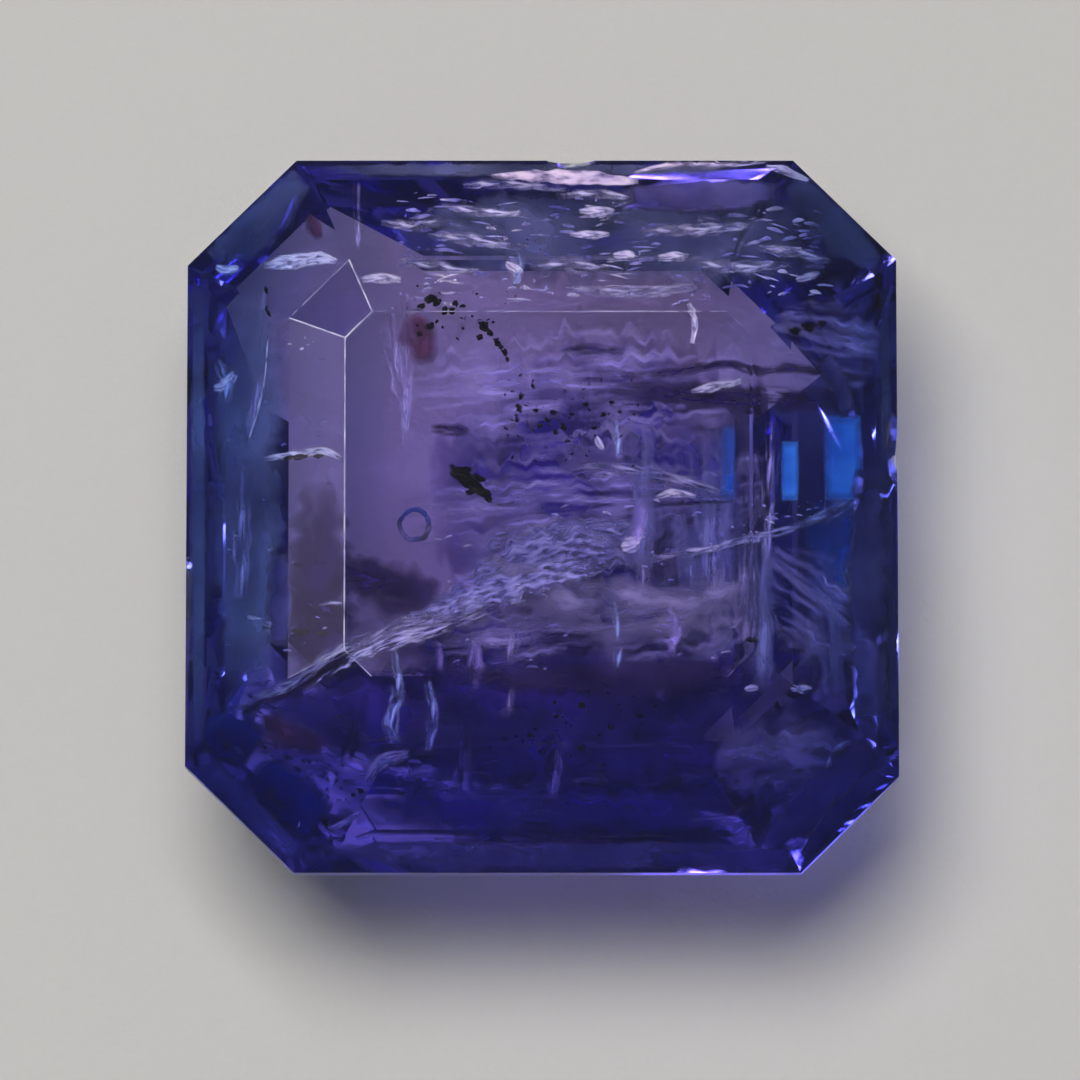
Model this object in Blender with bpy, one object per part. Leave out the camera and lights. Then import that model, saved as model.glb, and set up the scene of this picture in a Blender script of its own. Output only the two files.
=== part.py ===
"""A cut tanzanite: one clear violet-blue stone, a square step cut with cut corners.

It stands with its table up, on the small flat culet at its lowest point. Units are
metres and +Z is up. X runs from the stone's left to its right, Y from its front to its
back, and the origin is the middle of the stone's outline on the surface it stands on.
"""

import math
import random
from collections import namedtuple

import bmesh
import bpy
from mathutils import Matrix, Vector

MM = 0.001

# The girdle, the stone's widest outline
STONE_WIDTH = 10.0 * MM
STONE_LENGTH = 10.28 * MM
GIRDLE_THICKNESS = 0.16 * MM

# Values for four sides or four corners come in these orders, in millimetres:
# left, right, front, back, and front left, front right, back right, back left.
GIRDLE_INSETS = (0, 0, 0, 0)
GIRDLE_CUTS = (1.53, 1.38, 1.45, 1.53)

# A step of facets runs from one outline to the next one in. Its inner outline lies higher
# or lower by its height, in from the girdle by its insets, with its corners cut by cuts.
Step = namedtuple("Step", "height insets cuts")

# From the girdle up to the table
CROWN_STEPS = (
    Step(0.25 * MM, (0.30, 0.31, 0.46, 0.34), (1.46, 1.32, 1.40, 1.46)),
    Step(0.60 * MM, (1.45, 1.50, 1.70, 1.66), (0.90, 0.80, 0.80, 0.84)),
    Step(0.22 * MM, (2.24, 2.05, 2.58, 2.46), (0.38, 0.36, 0.36, 0.38)),
)

# From the girdle down to the culet, the small flat that the stone stands on
PAVILION_STEPS = (
    Step(1.40 * MM, (0.95, 0.85, 0.88, 0.89), (1.20, 1.10, 1.40, 1.05)),
    Step(0.75 * MM, (1.72, 1.65, 2.50, 1.75), (1.10, 1.10, 1.10, 1.60)),
    Step(1.10 * MM, (3.87, 3.83, 4.04, 3.95), (0.30, 0.30, 0.30, 0.30)),
)

PAVILION_DEPTH = sum(step.height for step in PAVILION_STEPS)
GIRDLE_TOP = PAVILION_DEPTH + GIRDLE_THICKNESS

# Small chips broken out of the girdle. Each is an uneven flake, placed by its middle on
# the edge, with its length along the edge, its depth into it and its height
Chip = namedtuple("Chip", "name x y z length depth height turn seed")
CHIPS = (
    Chip("back_chip", 0.42 * MM, STONE_LENGTH / 2, GIRDLE_TOP, 0.66 * MM, 0.16 * MM,
         0.30 * MM, 0.0, 3),
    Chip("right_chip", STONE_WIDTH / 2, 0.93 * MM, GIRDLE_TOP, 0.98 * MM, 0.20 * MM,
         0.44 * MM, math.pi / 2, 8),
    Chip("left_chip", -STONE_WIDTH / 2, -0.74 * MM, GIRDLE_TOP, 0.26 * MM, 0.12 * MM,
         0.20 * MM, math.pi / 2, 5),
)
CHIP_UNEVENNESS = 0.16


def clear_scene():
    for old in list(bpy.data.objects):
        bpy.data.objects.remove(old, do_unlink=True)


def outline(insets, cuts, height):
    """The eight corners of a rectangle with its corners cut off, counter-clockwise."""
    left_inset, right_inset, front_inset, back_inset = [inset * MM for inset in insets]
    front_left, front_right, back_right, back_left = [cut * MM for cut in cuts]
    left = left_inset - STONE_WIDTH / 2
    right = STONE_WIDTH / 2 - right_inset
    front = front_inset - STONE_LENGTH / 2
    back = STONE_LENGTH / 2 - back_inset
    corners = (
        (left + front_left, front),
        (right - front_right, front),
        (right, front + front_right),
        (right, back - back_right),
        (right - back_right, back),
        (left + back_left, back),
        (left, back - back_left),
        (left, front + front_left),
    )
    return [Vector((x, y, height)) for x, y in corners]


def stone_outlines():
    """All outlines of the stone, from the culet up to the table."""
    girdle_bottom = outline(GIRDLE_INSETS, GIRDLE_CUTS, PAVILION_DEPTH)
    girdle_top = outline(GIRDLE_INSETS, GIRDLE_CUTS, GIRDLE_TOP)
    below = []
    height = PAVILION_DEPTH
    for step in PAVILION_STEPS:
        height -= step.height
        below.append(outline(step.insets, step.cuts, height))
    above = []
    height = GIRDLE_TOP
    for step in CROWN_STEPS:
        height += step.height
        above.append(outline(step.insets, step.cuts, height))
    return below[::-1] + [girdle_bottom, girdle_top] + above


def stone_mesh():
    """The stone before its chips: a stack of outlines joined by flat facets."""
    shape = bmesh.new()
    rings = [[shape.verts.new(corner) for corner in ring] for ring in stone_outlines()]
    shape.faces.new(rings[0][::-1])
    for lower, upper in zip(rings, rings[1:]):
        for i in range(len(lower)):
            j = (i + 1) % len(lower)
            shape.faces.new((lower[i], lower[j], upper[j], upper[i]))
    shape.faces.new(rings[-1])
    mesh = bpy.data.meshes.new("tanzanite")
    shape.to_mesh(mesh)
    shape.free()
    return mesh


def chip_cutter(chip):
    """A flattened, uneven lump that breaks a flake out of the stone's edge."""
    chance = random.Random(chip.seed)
    shape = bmesh.new()
    bmesh.ops.create_icosphere(shape, subdivisions=2, radius=0.5)
    for vert in shape.verts:
        vert.co *= 1 + chance.uniform(-CHIP_UNEVENNESS, CHIP_UNEVENNESS)
    size = Matrix.Diagonal((chip.length, 2 * chip.depth, chip.height, 1))
    place = Matrix.Translation((chip.x, chip.y, chip.z))
    shape.transform(place @ Matrix.Rotation(chip.turn, 4, "Z") @ size)
    mesh = bpy.data.meshes.new(chip.name)
    shape.to_mesh(mesh)
    shape.free()
    cutter = bpy.data.objects.new(chip.name, mesh)
    cutter.display_type = "WIRE"
    cutter.hide_render = True
    return cutter


def tanzanite_material():
    """Clear violet-blue crystal."""
    material = bpy.data.materials.new("tanzanite")
    material.use_nodes = True
    shader = material.node_tree.nodes["Principled BSDF"]
    shader.inputs["Base Color"].default_value = (0.20, 0.17, 0.62, 1)
    shader.inputs["Roughness"].default_value = 0.02
    shader.inputs["Metallic"].default_value = 0.0
    shader.inputs["IOR"].default_value = 1.695
    shader.inputs["Transmission Weight"].default_value = 1.0
    return material


def cut_stone():
    """The finished stone, with its chips broken out."""
    stone = bpy.data.objects.new("tanzanite", stone_mesh())
    bpy.context.scene.collection.objects.link(stone)
    stone.data.materials.append(tanzanite_material())
    for chip in CHIPS:
        cutter = chip_cutter(chip)
        bpy.context.scene.collection.objects.link(cutter)
        cut = stone.modifiers.new(chip.name, "BOOLEAN")
        cut.operation = "DIFFERENCE"
        cut.solver = "EXACT"
        cut.object = cutter
    return stone


clear_scene()
cut_stone()
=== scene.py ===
import math
import random
from collections import namedtuple

import bmesh
import bpy
from mathutils import Matrix, Vector, noise
from mathutils.bvhtree import BVHTree


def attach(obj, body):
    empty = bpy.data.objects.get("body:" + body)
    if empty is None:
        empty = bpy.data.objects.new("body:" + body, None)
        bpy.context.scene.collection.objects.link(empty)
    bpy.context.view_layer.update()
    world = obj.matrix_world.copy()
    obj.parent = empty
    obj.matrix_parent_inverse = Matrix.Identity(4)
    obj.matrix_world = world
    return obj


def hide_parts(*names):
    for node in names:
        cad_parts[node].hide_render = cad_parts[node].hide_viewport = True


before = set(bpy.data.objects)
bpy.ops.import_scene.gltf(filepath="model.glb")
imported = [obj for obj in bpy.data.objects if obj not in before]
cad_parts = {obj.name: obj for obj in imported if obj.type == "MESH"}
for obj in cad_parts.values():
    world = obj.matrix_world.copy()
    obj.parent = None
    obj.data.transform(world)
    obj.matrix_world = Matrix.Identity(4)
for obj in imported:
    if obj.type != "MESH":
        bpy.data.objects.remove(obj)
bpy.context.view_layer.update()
MM = 0.001


# The sheet of pale paper that the stone stands on, a little warm in tone, with the faint
# tooth of pressed pulp. It lies a hair under the culet, so the two faces never touch.
PAPER_SIDE = 1.2
PAPER_GAP = 0.02 * MM
PAPER_TONES = ((0.30, (0.615, 0.592, 0.55, 1)), (0.70, (0.66, 0.638, 0.598, 1)))
PAPER_CLOUDS = 9.0
PAPER_CLOUD_DETAIL = 5.0
PAPER_ROUGHNESS = 0.9
TOOTH_GRAIN = 9.0 / MM
TOOTH_DETAIL = 4.0
TOOTH_STRENGTH = 0.5
TOOTH_HEIGHT = 0.02 * MM


def feed(tree, socket, value):
    """Sets a socket to a value, or links another node's output to it."""
    if isinstance(value, bpy.types.NodeSocket):
        tree.links.new(value, socket)
    else:
        socket.default_value = value


def node(tree, kind, inputs=(), **settings):
    """Adds a node with its settings, and fills the inputs given by name or number."""
    made = tree.nodes.new(kind)
    for name, value in settings.items():
        setattr(made, name, value)
    for name, value in dict(inputs).items():
        feed(tree, made.inputs[name], value)
    return made


def reckon(tree, operation, *values):
    """One step of arithmetic with sockets or numbers."""
    return node(tree, "ShaderNodeMath", enumerate(values), operation=operation).outputs[0]


def speckle(tree, scale, detail=3.0, place=None, stretch=(1, 1, 1)):
    """Even cloudy noise on a piece, finer along the axes that are stretched."""
    if place is None:
        place = node(tree, "ShaderNodeTexCoord").outputs["Object"]
    place = node(tree, "ShaderNodeMapping", {"Vector": place, "Scale": stretch}).outputs[0]
    made = node(tree, "ShaderNodeTexNoise", {"Vector": place, "Scale": scale, "Detail": detail})
    return made.outputs["Fac"]


def tones(tree, share, stops):
    """Runs through a row of colours as a share goes from 0 to 1."""
    made = node(tree, "ShaderNodeValToRGB", {"Fac": share})
    ends = made.color_ramp.elements
    while len(ends) < len(stops):
        ends.new(0.5)
    for end, (position, colour) in zip(ends, stops):
        end.position = position
        end.color = colour
    return made.outputs["Color"]


def new_material(name):
    """A material with its node tree and its shader."""
    made = bpy.data.materials.new(name)
    made.use_nodes = True
    return made, made.node_tree, made.node_tree.nodes["Principled BSDF"]


def object_from(name, shape, *materials):
    """Turns a bmesh into an object of the scene, with its materials."""
    mesh = bpy.data.meshes.new(name)
    shape.to_mesh(mesh)
    shape.free()
    for each in materials:
        mesh.materials.append(each)
    made = bpy.data.objects.new(name, mesh)
    bpy.context.scene.collection.objects.link(made)
    return made


paper, tree, shader = new_material("paper")
clouds = speckle(tree, PAPER_CLOUDS, PAPER_CLOUD_DETAIL)
feed(tree, shader.inputs["Base Color"], tones(tree, clouds, PAPER_TONES))
tooth = speckle(tree, TOOTH_GRAIN, TOOTH_DETAIL)
tooth = node(tree, "ShaderNodeBump",
             {"Height": tooth, "Strength": TOOTH_STRENGTH, "Distance": TOOTH_HEIGHT})
feed(tree, shader.inputs["Normal"], tooth.outputs[0])
feed(tree, shader.inputs["Roughness"], PAPER_ROUGHNESS)
shape = bmesh.new()
bmesh.ops.create_grid(shape, x_segments=1, y_segments=1, size=PAPER_SIDE / 2)
shape.transform(Matrix.Translation((0, 0, -PAPER_GAP)))
object_from("paper_sheet", shape, paper)


# A dim, even room with three soft panels, each for one thing, as on a photographer's table.
# One is over the paper, one shines through the stone from its back left, and a pale lilac
# card on the left is mirrored in the facets that face it. Places and sides are in metres.
SKY_TINT = (0.74, 0.82, 1.0, 1)
SKY_LEVEL = 0.15
CLEAR_LIGHT = (1, 1, 1)
LILAC_LIGHT = (0.82, 0.66, 1.0)
Panel = namedtuple("Panel", "name place side power lights tint")
PANELS = (
    Panel("ceiling_panel", Vector((-0.035, 0.045, 0.24)), 0.13, 0.50, "diffuse", CLEAR_LIGHT),
    Panel("window_panel", Vector((-0.13, 0.06, 0.20)), 0.20, 2.05, "transmission", CLEAR_LIGHT),
    Panel("left_card", Vector((-0.126, 0.056, 0.208)), 0.14, 0.038, "glossy", LILAC_LIGHT),
)

sky = bpy.data.worlds.new("soft_room")
bpy.context.scene.world = sky
sky.use_nodes = True
sky.node_tree.nodes["Background"].inputs["Color"].default_value = SKY_TINT
sky.node_tree.nodes["Background"].inputs["Strength"].default_value = SKY_LEVEL
for panel in PANELS:
    light = bpy.data.lights.new(panel.name, "AREA")
    light.size = panel.side
    light.energy = panel.power
    light.color = panel.tint
    lamp = bpy.data.objects.new(panel.name, light)
    lamp.location = panel.place
    lamp.rotation_euler = panel.place.to_track_quat("Z", "Y").to_euler()
    lamp.visible_diffuse = panel.lights == "diffuse"
    lamp.visible_transmission = panel.lights == "transmission"
    lamp.visible_glossy = panel.lights == "glossy"
    bpy.context.scene.collection.objects.link(lamp)


# The camera looks down at the table, a little from the front, through a long lens. Places
# in the picture are given in its pixels, from its top left corner, all through the script.
PICTURE_SIDE = 1080
PIXELS_PER_METRE = 71.1 / MM
VIEW_ELEVATION = math.radians(77)
VIEW_DISTANCE = 0.2
SENSOR = 36.0
STONE_MIDDLE = (542, 516)
GIRDLE_HEIGHT = 3.33 * MM
CLIP_START = 1.0 * MM
NOISE_LIMIT = 0.16
BOUNCES = 12
CLEAR_BOUNCES = 16

view_back = Vector((0, -math.cos(VIEW_ELEVATION), math.sin(VIEW_ELEVATION)))
view_up = Vector((0, math.sin(VIEW_ELEVATION), math.cos(VIEW_ELEVATION)))
view_right = Vector((1, 0, 0))


def picture_point(x, y):
    """The point that shows at a place of the picture, on a plane through the girdle's middle."""
    right = (x - STONE_MIDDLE[0]) / PIXELS_PER_METRE
    up = (STONE_MIDDLE[1] - y) / PIXELS_PER_METRE
    return Vector((0, 0, GIRDLE_HEIGHT)) + view_right * right + view_up * up


lens = bpy.data.cameras.new("camera")
lens.sensor_width = SENSOR
lens.lens = SENSOR * VIEW_DISTANCE * PIXELS_PER_METRE / PICTURE_SIDE
lens.clip_start = CLIP_START
camera = bpy.data.objects.new("camera", lens)
bpy.context.scene.collection.objects.link(camera)
camera.location = picture_point(PICTURE_SIDE / 2, PICTURE_SIDE / 2) + view_back * VIEW_DISTANCE
camera.rotation_euler = view_back.to_track_quat("Z", "Y").to_euler()
scene = bpy.context.scene
scene.camera = camera
scene.view_settings.view_transform = "Standard"
scene.cycles.use_denoising = True
scene.cycles.adaptive_threshold = NOISE_LIMIT
scene.cycles.max_bounces = BOUNCES
scene.cycles.glossy_bounces = BOUNCES
scene.cycles.transmission_bounces = BOUNCES
scene.cycles.transparent_max_bounces = CLEAR_BOUNCES


# The stone: one clear crystal, ground and polished to flat facets. It is violet in the middle
# and blue at its sides; painted shade darkens the sides, turns the front a dark indigo and
# darkens one crown facet. Its girdle is left ground, its chips are rough, and the pavilion's
# polish is a little uneven.
REFRACTION = 1.695
MERGE = 0.001 * MM
FLAT_ANGLE = math.radians(0.5)
FACET_AREA = 0.25 * MM * MM
UPRIGHT = 0.1
CROWN_START = GIRDLE_HEIGHT + 0.1 * MM
POLISH = 0.008
PAVILION_POLISH = 0.02
GROUND = 0.30
CHIPPED = 0.25
# Towards the sides the violet turns to the crystal's own blue; the darker tone there is painted
# shade.
SIDE_ZONING_AND_SHADE = (
    (0.0, (1.0, 0.88, 1.0, 1)),
    (0.45, (0.80, 0.78, 1.0, 1)),
    (1.0, (0.27, 0.38, 0.70, 1)),
)
SIDE_START = 2.6 * MM
SIDE_END = 4.8 * MM
# Painted shade: the stone turns a darker indigo towards its front, where it shows the dark above
# and in front of it.
FRONT_SHADE_START = -1.4 * MM
FRONT_SHADE_END = -3.6 * MM
FRONT_PAINTED_SHADE = (0.20, 0.18, 0.74, 1)
TINT_CLOUDS = 260.0
TINT_DRIFT = 1.2 * MM
ABSORBED = (0.48, 0.40, 0.97, 1)
ABSORPTION = 190
# Painted shade: one crown facet at the back left corner is darkened.
PAINTED_SHADE_FACETS = ((338, 306),)
FACET_PAINTED_SHADE = (0.62, 0.58, 0.78, 1)


def attribute(tree, name, output):
    """Reads an attribute that a mesh carries."""
    return node(tree, "ShaderNodeAttribute", attribute_name=name).outputs[output]


def multiply(tree, share, first, second):
    """Multiplies one colour by another, as far as a share from 0 to 1 says."""
    made = node(tree, "ShaderNodeMix", {0: share, 6: first, 7: second},
                data_type="RGBA", blend_type="MULTIPLY")
    return made.outputs[2]


def settle(piece):
    """Makes a piece part of the stone: it rides on it and stands for it."""
    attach(piece, "root")
    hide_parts("tanzanite")


cad_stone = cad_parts["tanzanite"]
shape = bmesh.new()
shape.from_mesh(cad_stone.data)
bmesh.ops.remove_doubles(shape, verts=shape.verts, dist=MERGE)
bmesh.ops.dissolve_limit(shape, angle_limit=FLAT_ANGLE, verts=shape.verts, edges=shape.edges)
plain_stone = BVHTree.FromBMesh(shape)
finish = shape.faces.layers.float.new("finish")
facets = {face for face in shape.faces if face.calc_area() > FACET_AREA}
for face in shape.faces:
    face[finish] = POLISH if face in facets else CHIPPED
    if face in facets and face.normal.z < -UPRIGHT:
        face[finish] = PAVILION_POLISH
    if abs(face.normal.z) < UPRIGHT:
        face[finish] = GROUND

# Marks the facets that get painted shade.
shaded = shape.faces.layers.float.new("shaded")
shape.faces.ensure_lookup_table()
for place in PAINTED_SHADE_FACETS:
    sight = picture_point(*place) - camera.location
    _, _, index, _ = plain_stone.ray_cast(camera.location, sight)
    shape.faces[index][shaded] = 1.0

crystal, tree, shader = new_material("tanzanite_crystal")
place = node(tree, "ShaderNodeTexCoord").outputs["Object"]
place = node(tree, "ShaderNodeSeparateXYZ", {0: place}).outputs
cloud = reckon(tree, "MULTIPLY", speckle(tree, TINT_CLOUDS), TINT_DRIFT)
sideways = reckon(tree, "ADD", reckon(tree, "ABSOLUTE", place["X"]), cloud)
sideways = node(tree, "ShaderNodeMapRange",
                {"Value": sideways, "From Min": SIDE_START, "From Max": SIDE_END})
front_shade = reckon(tree, "ADD", place["Y"], cloud)
front_shade = node(tree, "ShaderNodeMapRange",
               {"Value": front_shade, "From Min": FRONT_SHADE_START, "From Max": FRONT_SHADE_END})
front_shade.interpolation_type = "SMOOTHSTEP"
tint = tones(tree, sideways.outputs[0], SIDE_ZONING_AND_SHADE)
# Painted shade: darker indigo towards the front.
tint = multiply(tree, front_shade.outputs[0], tint, FRONT_PAINTED_SHADE)
# Painted shade on the marked crown facet.
tint = multiply(tree, attribute(tree, "shaded", "Fac"), tint, FACET_PAINTED_SHADE)
feed(tree, shader.inputs["Base Color"], tint)
feed(tree, shader.inputs["Roughness"], attribute(tree, "finish", "Fac"))
feed(tree, shader.inputs["IOR"], REFRACTION)
feed(tree, shader.inputs["Transmission Weight"], 1.0)
body = node(tree, "ShaderNodeVolumeAbsorption", {"Color": ABSORBED, "Density": ABSORPTION})
feed(tree, tree.nodes["Material Output"].inputs["Volume"], body.outputs[0])
crown = [vert.co.copy() for vert in shape.verts if vert.co.z > CROWN_START]
settle(object_from("cut_stone", shape, crystal))


# Wear along the facet edges, with a painted highlight: the sharp edges of the crown have
# rubbed to fine, broken lines, painted pale lilac white where they catch the light. The
# painted highlight is strongest round the table's back left corner and fades to the right.
WEAR_STEP = 0.02 * MM
WEAR_RADIUS = 0.015 * MM
WEAR_SIDES = 5
WEAR_PATCHES = 9.0 / MM
WEAR_FULL = 1.2
WEAR_RAGGED = 0.7
WEAR_GONE = 0.12
# Painted highlight: the pale lilac white of the rubbed edges stands in for the light they catch.
RUBBED_GLINT_TONES = ((0.35, (0.34, 0.31, 0.54, 1)), (0.62, (0.76, 0.72, 0.88, 1)))
RUBBED_GRAIN = 4.0 / MM
RUBBED_ROUGHNESS = 0.45
# Each rubbed edge runs between two places of the picture; its strength is largest at the back left,
# where the painted highlight is strongest.
WornGlint = namedtuple("WornGlint", "start end wear patchy")
WORN_GLINT_EDGES = (
    WornGlint((377, 313), (349, 262), 1.00, 0.1),
    WornGlint((377, 313), (348, 338), 1.00, 0.1),
    WornGlint((348, 338), (297, 320), 0.85, 0.1),
    WornGlint((348, 338), (343, 648), 0.80, 0.2),
    WornGlint((377, 313), (735, 313), 0.45, 0.5),
    WornGlint((343, 648), (372, 676), 0.50, 0.4),
    WornGlint((343, 648), (289, 690), 0.45, 0.5),
    WornGlint((349, 262), (297, 320), 0.40, 0.5),
    WornGlint((735, 313), (757, 335), 0.2, 0.7),
    WornGlint((735, 676), (757, 655), 0.2, 0.7),
)


def edge_corner(place):
    """The facet corner of the crown that shows nearest to a place of the picture."""
    sight = picture_point(*place)
    return min(crown, key=lambda corner: (corner - sight).cross(view_back).length)


def grow(name, base, material, sizes, build):
    """Runs a tree of geometry nodes on a base mesh, and keeps what it makes as a plain mesh."""
    group = bpy.data.node_groups.new(name, "GeometryNodeTree")
    group.interface.new_socket("Base", in_out="INPUT", socket_type="NodeSocketGeometry")
    group.interface.new_socket("Result", in_out="OUTPUT", socket_type="NodeSocketGeometry")
    knobs = {label: group.interface.new_socket(label, in_out="INPUT", socket_type=kind)
             for label, (kind, _) in sizes.items()}
    made = build(group, group.nodes.new("NodeGroupInput").outputs)
    made = node(group, "GeometryNodeRealizeInstances", {0: made}).outputs[0]
    made = node(group, "GeometryNodeSetMaterial", {"Geometry": made, "Material": material})
    group.links.new(made.outputs[0], group.nodes.new("NodeGroupOutput").inputs[0])
    carrier = object_from(name + "_base", base)
    modifier = carrier.modifiers.new(name, "NODES")
    modifier.node_group = group
    for label, (_, value) in sizes.items():
        modifier[knobs[label].identifier] = value
    grown = carrier.evaluated_get(bpy.context.evaluated_depsgraph_get())
    mesh = bpy.data.meshes.new_from_object(grown)
    mesh.name = name
    bpy.data.objects.remove(carrier)
    piece = bpy.data.objects.new(name, mesh)
    bpy.context.scene.collection.objects.link(piece)
    return piece


def rubbed_glint_line(group, given):
    """Draws a fine rod along each run of the base's edges, as thick as the rubbing and the painted
    highlight there.
    """
    line = node(group, "GeometryNodeMeshToCurve", {"Mesh": given["Base"]})
    wear = node(group, "GeometryNodeInputNamedAttribute", {"Name": "wear"}, data_type="FLOAT")
    radius = reckon(group, "MULTIPLY", wear.outputs[0], given["Radius"])
    section = node(group, "GeometryNodeCurvePrimitiveCircle",
                   {"Resolution": WEAR_SIDES, "Radius": 1.0})
    rods = node(group, "GeometryNodeCurveToMesh",
                {"Curve": line.outputs[0], "Profile Curve": section.outputs[0],
                 "Scale": radius, "Fill Caps": True})
    return rods.outputs[0]


rubbed_glint, tree, shader = new_material("rubbed_edge")
feed(tree, shader.inputs["Base Color"], tones(tree, speckle(tree, RUBBED_GRAIN), RUBBED_GLINT_TONES))
feed(tree, shader.inputs["Roughness"], RUBBED_ROUGHNESS)
lines = bmesh.new()
wear_and_glint_at = lines.verts.layers.float.new("wear")
for glint_edge in WORN_GLINT_EDGES:
    start, end = edge_corner(glint_edge.start), edge_corner(glint_edge.end)
    steps = max(2, int((end - start).length / WEAR_STEP))
    before = None
    for step in range(steps + 1):
        point = start.lerp(end, step / steps)
        rag = noise.noise(point * WEAR_PATCHES) * (WEAR_RAGGED + glint_edge.patchy)
        fade = glint_edge.wear * min(1, WEAR_FULL - glint_edge.patchy + rag)
        if fade < WEAR_GONE:
            before = None
            continue
        vert = lines.verts.new(point)
        vert[wear_and_glint_at] = fade
        if before:
            lines.edges.new((before, vert))
        before = vert
wear_sizes = {"Radius": ("NodeSocketFloat", WEAR_RADIUS)}
settle(grow("worn_edges", lines, rubbed_glint, wear_sizes, rubbed_glint_line))


# The healed cracks: films of tiny fluid pockets that closed over old breaks in the crystal.
# The largest runs across the stone from its front left corner, with a broad silvery veil.
FILM_STEP = 4.0
FILM_COLUMNS = 8
FILM_RAGGED = 0.35
FILM_ENDS = 3
FILM_ROUGHNESS = 0.4
VEIL_RAGGED = 0.6
RIM_PATCHES = 0.08
RIM_APART = 5
WAVE_PATCHES = 0.03
WAVE_SEED = 9
SKIN = 0.04
KEEP_INSIDE = 0.85
OFF_STONE_STEP = 0.01
STREAK_DETAIL = 3.0
STREAK_SHARE = 0.65
CLOUD_GRAIN = 0.9 / MM
CLOUD_DETAIL = 1.0
CLOUD_STRETCH = 1.5
CLOUD_SHARE = 0.35
DARK_FROM = 0.36
LIGHT_FROM = 0.66
# A film's path is a row of places in the picture, each with the film's half-width in pixels
# and its depth in millimetres. Its lean, thickness and waves are in millimetres.
Film = namedtuple("Film", "path lean thick waves")
HEALED_CRACKS = (
    Film(((212, 726, 3, .15), (262, 700, 9, .22), (300, 682, 11, .25), (343, 652, 12, .3),
          (372, 640, 9, .4), (400, 628, 11, .5), (445, 620, 8, .6), (480, 606, 7, .7),
          (520, 590, 6, .8), (562, 575, 4, .9)), 0.30, 0.03, 0.04),
    Film(((636, 562, 4, .9), (690, 553, 5, .8), (740, 541, 5, .7), (790, 529, 5, .5),
          (825, 515, 6, .4), (850, 503, 7, .3), (874, 492, 4, .2)), 0.10, 0.02, 0.03),
    Film(((560, 474, 3, .9), (600, 468, 7, .9), (650, 474, 8, .9), (700, 486, 6, .9),
          (745, 500, 3, .8)), 0.25, 0.03, 0.05),
    Film(((300, 690, 3, .3), (343, 662, 9, .35), (390, 640, 13, .5), (440, 626, 10, .6),
          (500, 604, 5, .7)), -0.30, 0.03, 0.05),
)
VEILS = (
    Film(((425, 612, 5, .6), (470, 590, 18, .7), (520, 564, 32, .8), (570, 550, 36, .9),
          (612, 545, 30, .9), (652, 545, 12, .9)), 0.45, 0.03, 0.08),
    Film(((400, 626, 5, .5), (440, 610, 12, .5), (500, 588, 18, .55), (560, 572, 16, .6),
          (606, 566, 6, .6)), -0.35, 0.03, 0.08),
    Film(((480, 556, 5, .9), (520, 540, 12, .9), (580, 530, 14, .9), (640, 530, 8, .9)),
         0.3, 0.03, 0.06),
)


def inside(x, y, depth):
    """The point in the stone that shows at a place of the picture, some millimetres along
    the sight, which bends as it enters. A place just off the stone is moved on to it."""
    sight = (picture_point(x, y) - camera.location).normalized()
    entry, facet, _, _ = plain_stone.ray_cast(camera.location, sight)
    if entry is None:
        x, y = Vector((x, y)).lerp(Vector(STONE_MIDDLE), OFF_STONE_STEP)
        return inside(x, y, depth)
    along = sight.dot(facet)
    bend = along / REFRACTION + math.sqrt(1 - (1 - along * along) / REFRACTION ** 2)
    bent = sight / REFRACTION - facet * bend
    _, _, _, reach = plain_stone.ray_cast(entry + bent * MERGE, bent)
    return entry + bent * min(depth * MM, reach * KEEP_INSIDE)


def eased(values, share):
    """A value between the middle two of four, on a smooth curve through them all."""
    before, start, end, after = values
    slope = (end - before) * share
    square = (2 * before - 5 * start + 4 * end - after) * share * share
    cube = (3 * start - before - 3 * end + after) * share ** 3
    return (2 * start + slope + square + cube) / 2


def smooth_path(path):
    """Places along a smooth curve through a path, each with its distance from the start."""
    ends = (path[0],) + tuple(path) + (path[-1],)
    places = []
    run = 0.0
    for before, start, end, after in zip(ends, ends[1:], ends[2:], ends[3:]):
        length = math.hypot(end[0] - start[0], end[1] - start[1])
        steps = max(1, round(length / FILM_STEP))
        for step in range(steps):
            share = step / steps
            place = [eased(values, share) for values in zip(before, start, end, after)]
            places.append((run + length * share, place))
        run += length
    places.append((run, list(path[-1])))
    return places


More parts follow.
